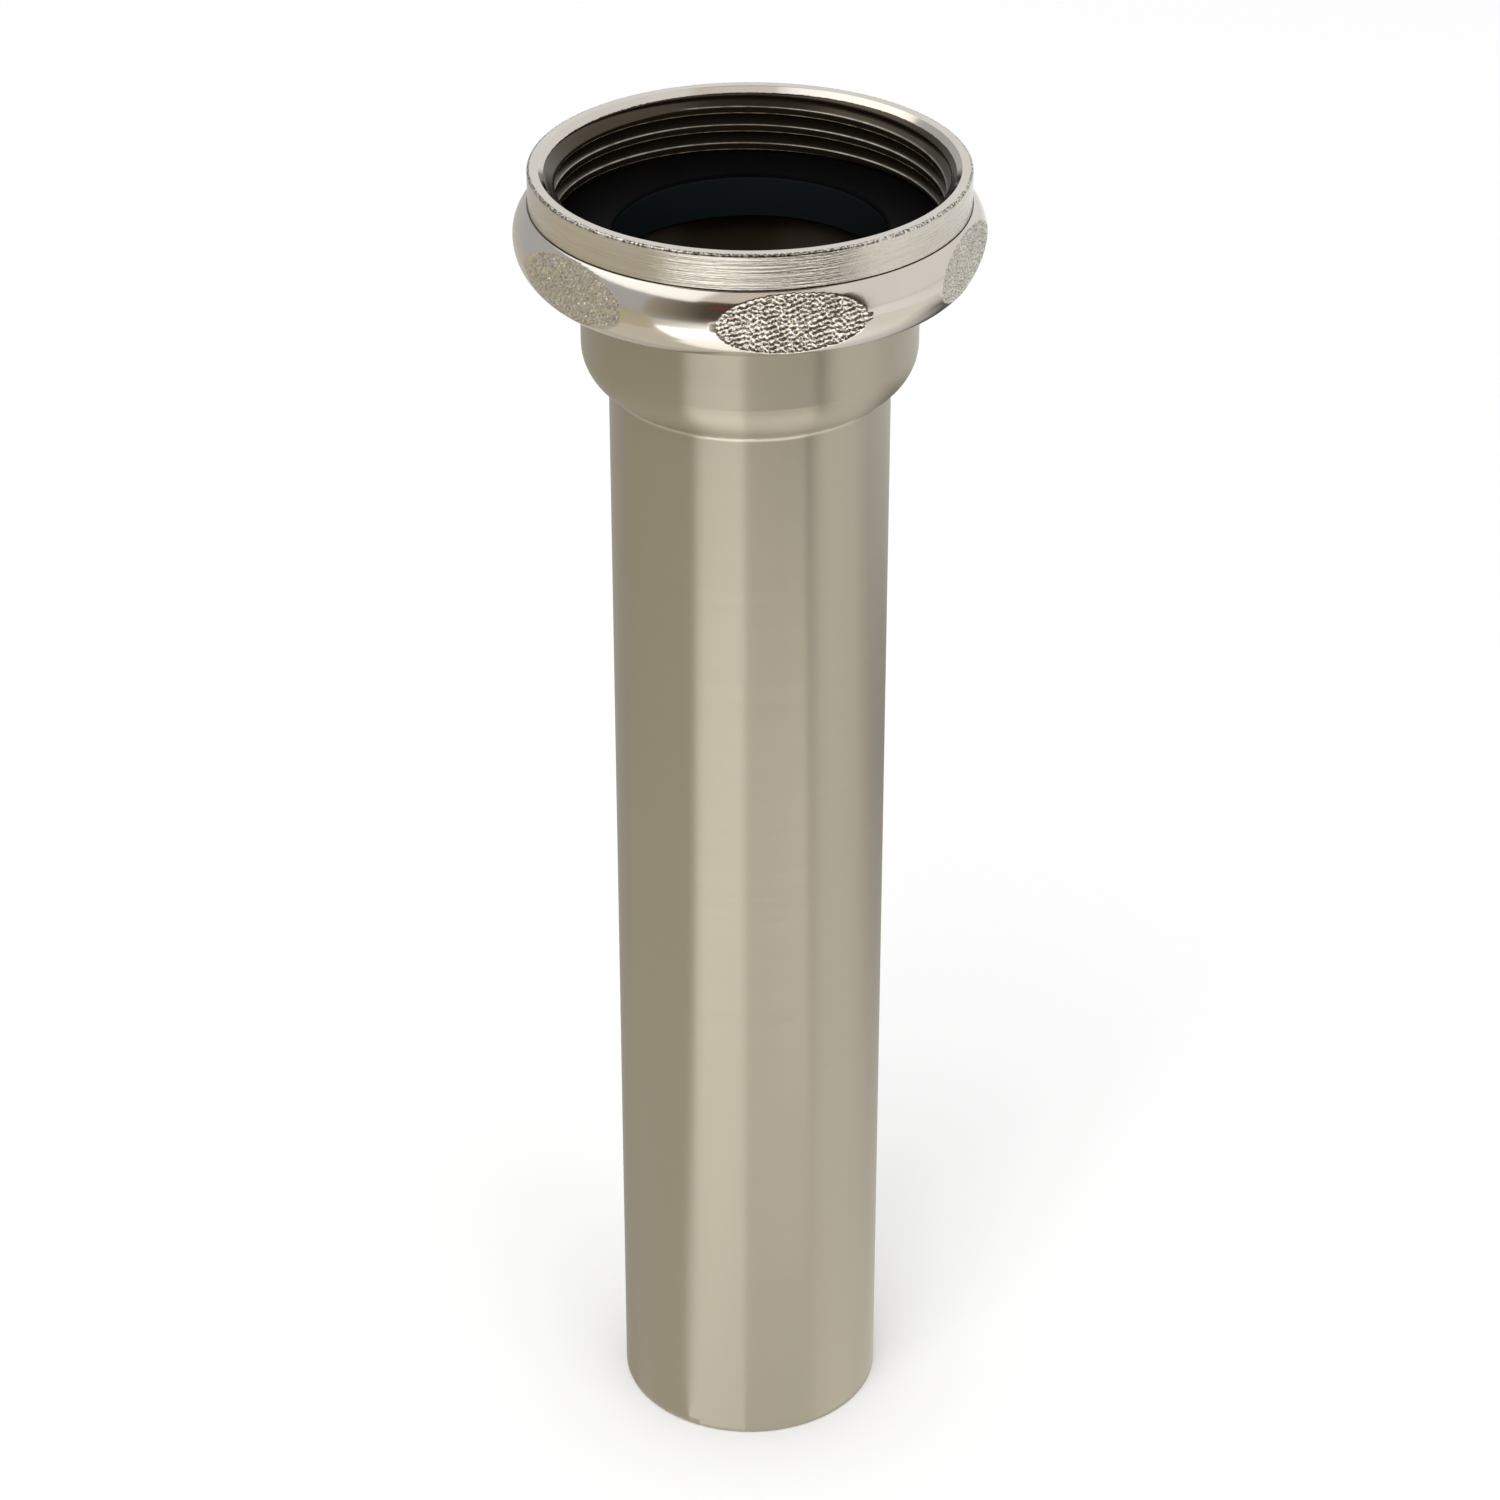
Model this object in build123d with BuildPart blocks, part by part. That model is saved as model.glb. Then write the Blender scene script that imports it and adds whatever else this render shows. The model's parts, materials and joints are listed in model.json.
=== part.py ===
from build123d import *
import os

# A straight waste tail pipe for a wash basin, with its union nut and its washer.
# The tube is drawn brass: its upper end is swelled into a bell and turned out into a flange.
# A rubber washer lies on the flange. Its brim is wider than the flange and the nut's thread, and
# it is trapped in the nut's relief groove, so the nut hangs on it and only turns.
# Sizes are in millimetres. +Z runs up the axis from the centre of the square-cut lower end.

# Tube: drawn brass of one wall from end to end
tube_outside_d = 31.75
wall = 1.14
pipe_length = 155.5
cut_end_chamfer = 0.2

# Bell: a cup with a rounded shoulder, from the seam up to the flange
bell_depth = 16.4
bell_step = 3.05
shoulder_radius = 5.2
seam_radius = 0.8

# Flange: the lip of the bell turned outwards
flange_width = 2.2
flange_root_radius = 0.6
flange_edge_radius = 0.3

# Washer: a brim on the flange and a short tapered sleeve inside the bell
brim_thickness = 1.6
brim_grip = 0.4
sleeve_depth = 3.85
sleeve_root_wall = 2.6
sleeve_tip_wall = 2.1
brim_edge_radius = 0.4
hole_edge_radius = 0.6
sleeve_tip_radius = 0.3

# Union nut: a lip under the flange, a round belly with six oval flats, a turned collar
lip_thickness = 1.2
lip_edge_chamfer = 0.35
body_height = 7.6
belly_low_height = 4.02
belly_low_drop = 1.82
belly_high_drop = 1.62
foot_edge_radius = 0.4
collar_step = 0.12
collar_height = 4.1
rim_width = 1.22
rim_edge_radius = 0.4
lead_in = 1.8
relief_depth = 1.3
relief_corner_radius = 0.3
flat_count = 6
flat_depth = 1.24
first_flat_azimuth = -79.8

# Clearances
turning_gap = 0.3
nut_hole_clearance = 0.4
flange_clearance = 0.3
sleeve_clearance = 0.15

# Radii, from the tube outwards
tube_r = tube_outside_d / 2
bell_r = tube_r + bell_step
flange_r = bell_r + flange_width
thread_r = flange_r + flange_clearance
brim_r = thread_r + brim_grip
relief_r = thread_r + relief_depth
mouth_r = thread_r + lead_in
collar_r = mouth_r + rim_width
step_r = collar_r + collar_step
belly_r = step_r + belly_high_drop
foot_r = belly_r - belly_low_drop
nut_hole_r = bell_r + nut_hole_clearance
sleeve_r = bell_r - wall - sleeve_clearance

# Heights, from the cut end up
seam_z = pipe_length - bell_depth
flange_under_z = pipe_length - wall
sleeve_tip_z = pipe_length - sleeve_depth
brim_top_z = pipe_length + brim_thickness
seat_z = flange_under_z - turning_gap
nut_bottom_z = seat_z - lip_thickness
belly_z = nut_bottom_z + belly_low_height
step_z = nut_bottom_z + body_height
rim_z = step_z + collar_height
relief_top_z = brim_top_z + turning_gap

# The shoulder is an arc that leaves the tube at the seam and ends upright in the bell's wall.
shoulder_rise = (shoulder_radius**2 - (shoulder_radius - bell_step) ** 2) ** 0.5
shoulder_top_z = seam_z + shoulder_rise

with BuildPart() as tail_pipe:
    with BuildSketch(Plane.XZ):
        with BuildLine() as skin:
            tube_line = Line((tube_r, 0), (tube_r, seam_z))
            shoulder = RadiusArc(tube_line @ 1, (bell_r, shoulder_top_z), -shoulder_radius)
            bell_line = Line(shoulder @ 1, (bell_r, flange_under_z))
            Line(bell_line @ 1, (flange_r, flange_under_z))
            fillet(skin.vertices().sort_by_distance(Vector(tube_r, seam_z))[0], seam_radius)
            fillet(skin.vertices().sort_by_distance(Vector(bell_r, flange_under_z))[0], flange_root_radius)
            offset(amount=wall, side=Side.LEFT)
        make_face()
    revolve(axis=Axis.Z)
    cut_end = tail_pipe.edges().filter_by(GeomType.CIRCLE).group_by(Axis.Z)[0]
    chamfer(cut_end, cut_end_chamfer)
    flange_rim = tail_pipe.edges().filter_by(GeomType.CIRCLE).sort_by(SortBy.RADIUS)[-2:]
    fillet(flange_rim, flange_edge_radius)

# The washer's inside corner follows the bell's mouth, which the flange's bend rounds off.
brim_root = Vector(sleeve_r, pipe_length)
brim_root_radius = flange_root_radius + wall - sleeve_clearance
hole_edge = Vector(sleeve_r - sleeve_root_wall, brim_top_z)

with BuildPart() as washer:
    with BuildSketch(Plane.XZ) as washer_section:
        with BuildLine():
            Polyline(
                (sleeve_r - sleeve_tip_wall, sleeve_tip_z),
                (sleeve_r, sleeve_tip_z),
                brim_root,
                (brim_r, pipe_length),
                (brim_r, brim_top_z),
                hole_edge,
                close=True,
            )
        make_face()
        fillet(washer_section.vertices().sort_by_distance(brim_root)[0], brim_root_radius)
        fillet(washer_section.vertices().sort_by_distance(hole_edge)[0], hole_edge_radius)
        fillet(washer_section.vertices().group_by(Axis.Y)[0], sleeve_tip_radius)
        fillet(washer_section.vertices().group_by(Axis.X)[-1], brim_edge_radius)
    revolve(axis=Axis.Z)

with BuildPart() as union_nut:
    with BuildSketch(Plane.XZ) as nut_section:
        with BuildLine():
            underside = Line((nut_hole_r, nut_bottom_z), (foot_r, nut_bottom_z))
            TangentArc((belly_r, belly_z), underside @ 1, tangent=(0, -1))
            belly_high = TangentArc((belly_r, belly_z), (step_r, step_z), tangent=(0, 1))
            Polyline(
                belly_high @ 1,
                (collar_r, step_z),
                (collar_r, rim_z),
                (mouth_r, rim_z),
                (thread_r, rim_z - lead_in),
                (thread_r, relief_top_z),
                (relief_r, relief_top_z),
                (relief_r, seat_z),
                (nut_hole_r, seat_z),
                underside @ 0,
            )
        make_face()
        fillet(nut_section.vertices().sort_by_distance(Vector(foot_r, nut_bottom_z))[0], foot_edge_radius)
        fillet(nut_section.vertices().sort_by_distance(Vector(collar_r, rim_z))[0], rim_edge_radius)
        fillet(nut_section.vertices().sort_by_distance(Vector(relief_r, relief_top_z))[0], relief_corner_radius)
        fillet(nut_section.vertices().sort_by_distance(Vector(relief_r, seat_z))[0], relief_corner_radius)
        chamfer(nut_section.vertices().group_by(Axis.X)[0], lip_edge_chamfer)
    revolve(axis=Axis.Z)
    with BuildSketch(Plane.XY.offset(nut_bottom_z)):
        RegularPolygon(
            belly_r - flat_depth,
            flat_count,
            major_radius=False,
            rotation=first_flat_azimuth + 180 / flat_count,
        )
    extrude(amount=rim_z - nut_bottom_z, mode=Mode.INTERSECT)

os.makedirs("parts", exist_ok=True)
tail_pipe.part.label = "tail_pipe"
washer.part.label = "washer"
union_nut.part.label = "union_nut"
export_step(tail_pipe.part, "parts/tail_pipe.step")
export_step(washer.part, "parts/washer.step")
export_step(union_nut.part, "parts/union_nut.step")
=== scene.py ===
"""Looks of a basin waste tail pipe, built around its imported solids.

The tail pipe and the washer are carried over with a finish of their own. The union nut is a new
piece in the form of its solid, with the thread and the stippled flats that the solid leaves out.
Lengths are in metres unless a name says otherwise, and +Z runs up the pipe from its cut end.
"""

from __future__ import annotations

import json
import logging
import math
from dataclasses import dataclass
from enum import Enum

import bpy
import numpy as np
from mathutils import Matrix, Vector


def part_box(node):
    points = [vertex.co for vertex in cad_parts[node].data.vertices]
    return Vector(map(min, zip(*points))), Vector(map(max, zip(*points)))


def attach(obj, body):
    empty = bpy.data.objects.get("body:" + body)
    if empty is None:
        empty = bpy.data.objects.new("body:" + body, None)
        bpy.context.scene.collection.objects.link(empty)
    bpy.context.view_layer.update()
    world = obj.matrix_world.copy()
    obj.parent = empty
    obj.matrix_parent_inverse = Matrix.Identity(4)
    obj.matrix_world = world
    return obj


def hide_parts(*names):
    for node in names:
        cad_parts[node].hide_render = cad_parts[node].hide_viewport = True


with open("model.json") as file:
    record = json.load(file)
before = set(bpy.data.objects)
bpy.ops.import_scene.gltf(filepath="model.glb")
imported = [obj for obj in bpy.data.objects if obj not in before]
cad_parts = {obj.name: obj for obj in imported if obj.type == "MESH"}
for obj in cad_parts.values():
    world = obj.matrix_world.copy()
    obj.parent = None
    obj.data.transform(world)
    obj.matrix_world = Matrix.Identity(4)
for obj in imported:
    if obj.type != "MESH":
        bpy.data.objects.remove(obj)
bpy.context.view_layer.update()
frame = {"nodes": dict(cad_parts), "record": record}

MM = 0.001
TURN = 2.0 * math.pi
WHITE = (1.0, 1.0, 1.0)

# The attributes that meshes carry for their materials
# The wear attribute also paints highlights and golden reflections on the thread's edges
WEAR_AND_HIGHLIGHT = "wear_and_highlight"
GLOW = "glow"

# How finely a rounded corner is drawn, and how far out the points on each side of it lie
FINE_RADIUS = 0.1 * MM
FINE_ARC_STEPS = 2
ARC_STEPS = 4
CORNER_MARGIN = 0.03 * MM

# The detail of a fractal noise, in octaves, and how much of its strength each one hands on
SOFT = 2.0
EVEN = 3.0
CRISP = 4.0
OCTAVE_SHARE = 0.6

Colour = tuple[float, float, float]
Line = tuple[tuple[float, float, float, float], ...]
Socket = bpy.types.NodeSocket

log = logging.getLogger("tail_pipe")


def mount_radius(name: str) -> float:
    """Looks up the radius of one of the record's mounts, in metres."""
    mount = next(m for m in frame["record"]["mounts"] if m["name"] == name)
    return mount["dims"]["r_mm"] * MM


# The pipe's skin, the wall of the studio, and the height of its cards above the floor
SKIN = mount_radius("tail_end")
WALL = 0.9
LIFT = 0.5 * MM


class Graph:
    """The nodes of a material or of the world, with calls that add and link them."""

    def __init__(self, owner: bpy.types.Material | bpy.types.World) -> None:
        """Turns the owner's nodes on and empties their tree.

        Args:
            owner: the material or the world that the nodes belong to.
        """
        owner.use_nodes = True
        self.owner = owner
        self.tree = owner.node_tree
        self.tree.nodes.clear()

    def add(
        self, kind: str, inputs: dict[str | int, object] | None = None, **options: object
    ) -> bpy.types.Node:
        """Adds one node.

        Args:
            kind: Blender's name for the node type, without its ShaderNode prefix.
            inputs: for each input, by name or number, a value or the socket that feeds it.
            options: the node's own settings.

        Returns:
            The new node.
        """
        node = self.tree.nodes.new("ShaderNode" + kind)
        for option, value in options.items():
            setattr(node, option, value)
        for key, value in (inputs or {}).items():
            if isinstance(value, Socket):
                self.tree.links.new(value, node.inputs[key])
            else:
                node.inputs[key].default_value = value
        return node

    def math(self, operation: str, first: float | Socket, second: float | Socket = 0.0) -> Socket:
        """Works out one sum, product or other operation of two numbers and returns its socket."""
        return self.add("Math", {0: first, 1: second}, operation=operation).outputs[0]

    def vector(self, operation: str, first: object, second: object = (0.0, 0.0, 0.0)) -> Socket:
        """Works out one operation of two vectors and returns the socket of its vector."""
        return self.add("VectorMath", {0: first, 1: second}, operation=operation).outputs[0]

    def dot(self, first: Socket, second: Socket) -> Socket:
        """Works out the scalar product of two vectors and returns its socket."""
        return self.add("VectorMath", {0: first, 1: second}, operation="DOT_PRODUCT").outputs[1]

    def average(self, first: Socket, second: Socket) -> Socket:
        """Works out the mean of two numbers and returns its socket."""
        return self.math("MULTIPLY", self.math("ADD", first, second), 0.5)

    def spread(self, value: Socket, middle: float, reach: float) -> Socket:
        """Spreads a value from 0 to 1 over a middle number, from less a reach to plus a reach."""
        sockets = {"Value": value, "To Min": middle - reach, "To Max": middle + reach}
        return self.add("MapRange", sockets).outputs["Result"]

    def share(self, value: Socket, start: float, end: float) -> Socket:
        """Gives 0 where a value is at its start or below, 1 at its end or above, evenly between."""
        sockets = {"Value": value, "From Min": start, "From Max": end}
        return self.add("MapRange", sockets).outputs["Result"]

    def mix(self, share: Socket, first: Colour | Socket, second: Colour | Socket) -> Socket:
        """Blends two colours by a share from 0 to 1.

        Args:
            share: how much of the second colour there is.
            first: a colour, or the socket of one.
            second: the other colour.

        Returns:
            The socket of the blend.
        """
        first, second = (c if isinstance(c, Socket) else rgba(c) for c in (first, second))
        sockets = {"Factor": share, 6: first, 7: second}
        return self.add("Mix", sockets, data_type="RGBA").outputs[2]

    def noise(self, vector: Socket, scale: float, detail: float = EVEN) -> Socket:
        """Returns the socket of a fractal noise from 0 to 1, of so many cells to the metre."""
        sockets = {"Vector": vector, "Scale": scale, "Detail": detail, "Roughness": OCTAVE_SHARE}
        return self.add("TexNoise", sockets).outputs["Fac"]

    def bump(self, height: Socket, relief: float) -> Socket:
        """Returns the socket of the normals of a height from 0 to 1, so many metres high."""
        sockets = {"Height": height, "Strength": 1.0, "Distance": relief}
        return self.add("Bump", sockets).outputs[0]

    def finish(self, shader: bpy.types.Node) -> bpy.types.Material:
        """Sends a shader to the surface and returns the material that it belongs to."""
        self.add("OutputMaterial", {"Surface": shader.outputs[0]})
        return self.owner


def rgba(colour: Colour) -> tuple[float, float, float, float]:
    """Returns a colour with full opacity."""
    return (*colour, 1.0)


@dataclass(frozen=True)
class Place:
    """The object's own coordinates as sockets, with those that follow a turned form."""

    point: Socket
    grooves: Socket
    inwards: Socket

    @classmethod
    def of(cls, graph: Graph, groove_length: float, groove_width: float) -> Place:
        """Works out the coordinates of a form that is turned about Z.

        A lathe's or a belt's grooves run round the axis. Their place along the section is z - r,
        which changes along a wall and across a face alike. Stretched by one over the groove's
        width, with x and y stretched by one over its length, it gives a noise of long grooves.

        Args:
            graph: the material's graph.
            groove_length: how far one groove runs round the axis.
            groove_width: how wide one groove is.

        Returns:
            The sockets of the plain point, of the stretched one, and of a mask that is 1 where
            the surface faces the axis.
        """
        place = graph.add("TexCoord").outputs
        point = place["Object"]
        x, y, z = graph.add("SeparateXYZ", {0: point}).outputs
        flat = graph.add("CombineXYZ", {0: x, 1: y}).outputs[0]
        radius = graph.add("VectorMath", {0: flat}, operation="LENGTH").outputs["Value"]
        section = graph.math("MULTIPLY", graph.math("SUBTRACT", z, radius), 1.0 / groove_width)
        across = [graph.math("MULTIPLY", value, 1.0 / groove_length) for value in (x, y)]
        grooves = graph.add("CombineXYZ", {0: across[0], 1: across[1], 2: section}).outputs[0]
        inwards = graph.math("LESS_THAN", graph.dot(place["Normal"], flat), 0.0)
        return cls(point, grooves, inwards)


@dataclass(frozen=True)
class TurnedNickel:
    """Nickel brushed round its axis, with a bare metal inside where the piece has one.

    Wear is an attribute of the mesh, above 0 on upper edges and below 0 on lower ones; there the
    edges are lighter as worn metal and painted highlight, and golden below as a painted reflection.
    The rotation of the anisotropy is in turns.
    """

    name: str
    colour: Colour
    streak_colour: Colour
    bare_inside_and_shade_colour: Colour
    metallic: float = 1.0
    worn_and_highlit_edges: bool = False
    wear_and_highlight_colour: Colour = (0.80, 0.77, 0.70)
    lower_wear_and_reflection_colour: Colour = (0.80, 0.60, 0.36)
    wear_and_highlight_middle: float = 0.6
    wear_and_highlight_reach: float = 0.6
    roughness: float = 0.34
    inside_roughness: float = 0.5
    anisotropy: float = 0.95
    anisotropy_rotation: float = 0.25
    groove_length: float = 12 * MM
    groove_width: float = 0.3 * MM
    groove_relief: float = 0.004 * MM
    broad_scale: float = 0.17
    patch_size: float = 1.5 * MM
    roughness_spread: float = 0.05
    highlight_ring_height: float | None = None
    ring_width: float = 0.45 * MM
    highlight_ring_share: float = 0.25

    def burnished_highlight_ring(self, graph: Graph, place: Place) -> Socket:
        """Masks the ring that a tool has burnished, whose lighter colour is a painted highlight.

        Args:
            graph: the material's graph.
            place: the coordinates of the piece.

        Returns:
            The socket of the mask, which falls from its share at the ring to 0 past its width.
        """
        height = graph.add("SeparateXYZ", {0: place.point}).outputs[2]
        away = graph.math("ABSOLUTE", graph.math("SUBTRACT", height, self.highlight_ring_height))
        sockets = {"Value": away, "From Max": self.ring_width}
        sockets |= {"To Min": self.highlight_ring_share, "To Max": 0.0}
        return graph.add("MapRange", sockets, interpolation_type="SMOOTHSTEP").outputs["Result"]

    def material(self) -> bpy.types.Material:
        """Makes the finish.

        Returns:
            A metal whose reflection is drawn out along the axis, across the grooves, darker in
            colour where it faces the axis as a painted shade. It is brighter in patches on its worn
            upper edges, partly as a painted highlight, and golden with less of its gloss on its
            lower ones, partly as a painted reflection. Its burnished ring is smoother, and brighter
            in colour as a painted highlight.
        """
        graph = Graph(bpy.data.materials.new(self.name))
        place = Place.of(graph, self.groove_length, self.groove_width)
        grooves = graph.noise(place.grooves, 1.0, CRISP)
        streaks = graph.average(grooves, graph.noise(place.grooves, self.broad_scale, SOFT))
        nickel = graph.mix(streaks, self.streak_colour, self.colour)
        # Painted shade: faces that look at the axis take the darker inside colour
        colour = graph.mix(place.inwards, nickel, self.bare_inside_and_shade_colour)
        metallic = self.metallic
        # Worn edges: lighter above as worn metal and painted highlight, golden below as a painted
        # reflection
        if self.worn_and_highlit_edges:
            patches = graph.noise(place.point, 1.0 / self.patch_size, SOFT)
            wear_and_highlight = graph.add("Attribute", attribute_name=WEAR_AND_HIGHLIGHT).outputs["Fac"]
            depth = graph.spread(patches, self.wear_and_highlight_middle, self.wear_and_highlight_reach)
            worn_and_highlit = graph.math("MULTIPLY", wear_and_highlight, depth)
            lower = graph.math("MAXIMUM", graph.math("MULTIPLY", worn_and_highlit, -1.0), 0.0)
            colour = graph.mix(graph.math("MAXIMUM", worn_and_highlit, 0.0), colour, self.wear_and_highlight_colour)
            colour = graph.mix(lower, colour, self.lower_wear_and_reflection_colour)
            metallic = graph.math("MAXIMUM", graph.math("SUBTRACT", self.metallic, lower), 0.0)
        roughness = graph.spread(streaks, self.roughness, self.roughness_spread)
        # Burnished ring: smoother, and lighter in colour as a painted highlight
        if self.highlight_ring_height is not None:
            burnished_highlight_ring = self.burnished_highlight_ring(graph, place)
            colour = graph.mix(burnished_highlight_ring, colour, self.wear_and_highlight_colour)
            roughness = graph.math("MULTIPLY", roughness, graph.math("SUBTRACT", 1.0, burnished_highlight_ring))
        inside = graph.math("MULTIPLY", place.inwards, self.inside_roughness - self.roughness)
        sockets = {
            "Base Color": colour,
            "Metallic": metallic,
            "Roughness": graph.math("ADD", roughness, inside),
            "Anisotropic": self.anisotropy,
            "Anisotropic Rotation": self.anisotropy_rotation,
            "Tangent": graph.add("Tangent", direction_type="RADIAL", axis="Z").outputs[0],
            "Normal": graph.bump(grooves, self.groove_relief),
        }
        return graph.finish(graph.add("BsdfPrincipled", sockets))


@dataclass(frozen=True)
class PolishedNickel:
    """Bright nickel with the faint waves and clouds of a buffed casting."""

    name: str
    colour: Colour
    cloud_colour: Colour
    roughness: float = 0.13
    cloud_size: float = 6 * MM
    cloud_contrast: float = 1.0
    wave_size: float = 1.6 * MM
    wave_relief: float = 0.006 * MM
    roughness_spread: float = 0.04

    def material(self) -> bpy.types.Material:
        """Makes the finish.

        Returns:
            A glossy metal whose colour and gloss vary a little over the surface.
        """
        graph = Graph(bpy.data.materials.new(self.name))
        point = graph.add("TexCoord").outputs["Object"]
        noise = graph.noise(point, 1.0 / self.cloud_size)
        clouds = graph.math("MAXIMUM", graph.spread(noise, 0.5, self.cloud_contrast / 2), 0.0)
        clouds = graph.math("MINIMUM", clouds, 1.0)
        waves = graph.noise(point, 1.0 / self.wave_size, SOFT)
        sockets = {
            "Base Color": graph.mix(clouds, self.cloud_colour, self.colour),
            "Metallic": 1.0,
            "Roughness": graph.spread(clouds, self.roughness, self.roughness_spread),
            "Normal": graph.bump(waves, self.wave_relief),
        }
        return graph.finish(graph.add("BsdfPrincipled", sockets))


@dataclass(frozen=True)
class MouldedRubber:
    """Black rubber with a dull skin and the faint rings that its mould leaves.

    The edge and the wall of the hole are told apart by how far the surface looks inwards, from 0
    for up or outwards to 1 for straight at the axis. The edge's darker colour is a painted shade,
    and the wall's lighter bluish colour is painted light.
    """

    name: str
    colour: Colour
    bloom_colour: Colour
    edge_painted_shade_colour: Colour
    wall_painted_light_colour: Colour
    edge_facing: tuple[float, float] = (0.05, 0.25)
    wall_facing: tuple[float, float] = (0.9, 0.98)
    specular: float = 0.025
    roughness: float = 0.48
    roughness_spread: float = 0.06
    grain_size: float = 0.5 * MM
    grain_relief: float = 0.01 * MM
    bloom_size: float = 3.5 * MM
    ring_width: float = 0.8 * MM
    ring_length: float = 40 * MM

    def zones(self, graph: Graph, face: Socket) -> Socket:
        """Paints shade on the rounded edge and light on the wall of the hole, by which way the
        surface faces.

        Args:
            graph: the material's graph.
            face: the colour where the surface looks up or outwards.

        Returns:
            The face's colour, going over to the edge's painted shade and then to the wall's painted
            light.
        """
        place = graph.add("TexCoord").outputs
        outwards = graph.vector("MULTIPLY", place["Object"], (1.0, 1.0, 0.0))
        outwards = graph.vector("NORMALIZE", outwards)
        inwards = graph.math("MULTIPLY", graph.dot(place["Normal"], outwards), -1.0)
        colour = graph.mix(graph.share(inwards, *self.edge_facing), face, self.edge_painted_shade_colour)
        return graph.mix(graph.share(inwards, *self.wall_facing), colour, self.wall_painted_light_colour)

    def material(self) -> bpy.types.Material:
        """Makes the finish.

        Returns:
            A dark dielectric with a grain, with rings of slightly different gloss and with a
            faint bloom in patches.
        """
        graph = Graph(bpy.data.materials.new(self.name))
        place = Place.of(graph, self.ring_length, self.ring_width)
        rings = graph.noise(place.grooves, 1.0, SOFT)
        bloom = graph.average(rings, graph.noise(place.point, 1.0 / self.bloom_size))
        face = graph.mix(bloom, self.colour, self.bloom_colour)
        grain = graph.noise(place.point, 1.0 / self.grain_size, CRISP)
        sockets = {
            "Base Color": self.zones(graph, face),
            "Roughness": graph.spread(rings, self.roughness, self.roughness_spread),
            "Specular IOR Level": self.specular,
            "Normal": graph.bump(grain, self.grain_relief),
        }
        return graph.finish(graph.add("BsdfPrincipled", sockets))


class NutFinish(Enum):
    """The finishes of the union nut, in the order of its material slots."""

    POLISHED = 0
    TURNED = 1
    STIPPLED = 2
    THREADED = 3
    BURRED = 4


NUT_FINISHES: dict[NutFinish, PolishedNickel | TurnedNickel] = {
    NutFinish.POLISHED: PolishedNickel(
        "nut_polished",
        colour=(0.64, 0.60, 0.54),
        cloud_colour=(0.56, 0.52, 0.46),
    ),
    NutFinish.TURNED: TurnedNickel(
        "nut_turned",
        colour=(0.74, 0.70, 0.63),
        streak_colour=(0.42, 0.39, 0.33),
        # Painted shade: the bore of the nut is darker in colour
        bare_inside_and_shade_colour=(0.50, 0.46, 0.39),
        roughness=0.15,
        groove_length=7 * MM,
        groove_width=0.2 * MM,
        groove_relief=0.07 * MM,
    ),
    NutFinish.STIPPLED: PolishedNickel(
        "nut_stippled",
        colour=(0.76, 0.72, 0.645),
        cloud_colour=(0.50, 0.47, 0.41),
        roughness=0.12,
        cloud_size=0.7 * MM,
        wave_size=0.24 * MM,
        wave_relief=0.06 * MM,
    ),
    # Painted shade: the thread and the ledge are darkened in colour for the shade in the nut's
    # grooves and crease
    NutFinish.THREADED: TurnedNickel(
        "nut_thread_painted_shade",
        colour=(0.09, 0.07, 0.045),
        streak_colour=(0.035, 0.027, 0.016),
        # Painted shade: the thread's inward faces are darker still
        bare_inside_and_shade_colour=(0.055, 0.043, 0.028),
        metallic=0.85,
        worn_and_highlit_edges=True,
        roughness=0.24,
        inside_roughness=0.24,
        anisotropy=0.3,
        groove_length=6 * MM,
        groove_width=0.15 * MM,
    ),
    NutFinish.BURRED: PolishedNickel(
        "nut_burred",
        colour=(0.68, 0.64, 0.58),
        cloud_colour=(0.10, 0.09, 0.07),
        roughness=0.2,
        cloud_size=0.35 * MM,
        cloud_contrast=5.0,
        wave_size=0.3 * MM,
        wave_relief=0.03 * MM,
    ),
}


@dataclass(frozen=True)
class Surface:
    """A closed part of a mesh: points and their wear with painted highlight, faces of four corners
    and their finish.
    """

    points: np.ndarray
    wear_and_highlight: np.ndarray
    faces: np.ndarray
    finishes: np.ndarray


def turned_point(radius: np.ndarray, angle: np.ndarray, height: np.ndarray) -> np.ndarray:
    """Turns cylinder coordinates into points: x is r cos(a), y is r sin(a), z is the height.

    Args:
        radius: distances from the axis.
        angle: angles about the axis, in radians.
        height: heights.

    Returns:
        An array with x, y and z on its last axis.
    """
    radius, angle, height = np.broadcast_arrays(radius, angle, height)
    return np.stack((radius * np.cos(angle), radius * np.sin(angle), height), axis=-1)


def grid_faces(rows: int, columns: int, close_rows: bool) -> np.ndarray:
    """Joins a grid of points into faces of four corners, always closed along its columns.

    Args:
        rows: how many points the grid has along its first axis.
        columns: how many it has along its second axis, which is a closed loop.
        close_rows: whether the last row is joined to the first one.

    Returns:
        One line of four point numbers for each face.
    """
    row = np.arange(rows if close_rows else rows - 1)[:, None]
    column = np.arange(columns)[None, :]
    next_row = (row + 1) % rows
    next_column = (column + 1) % columns
    corners = (
        row * columns + column,
        row * columns + next_column,
        next_row * columns + next_column,
        next_row * columns + column,
    )
    return np.stack(np.broadcast_arrays(*corners), axis=-1).reshape(-1, 4)


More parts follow.
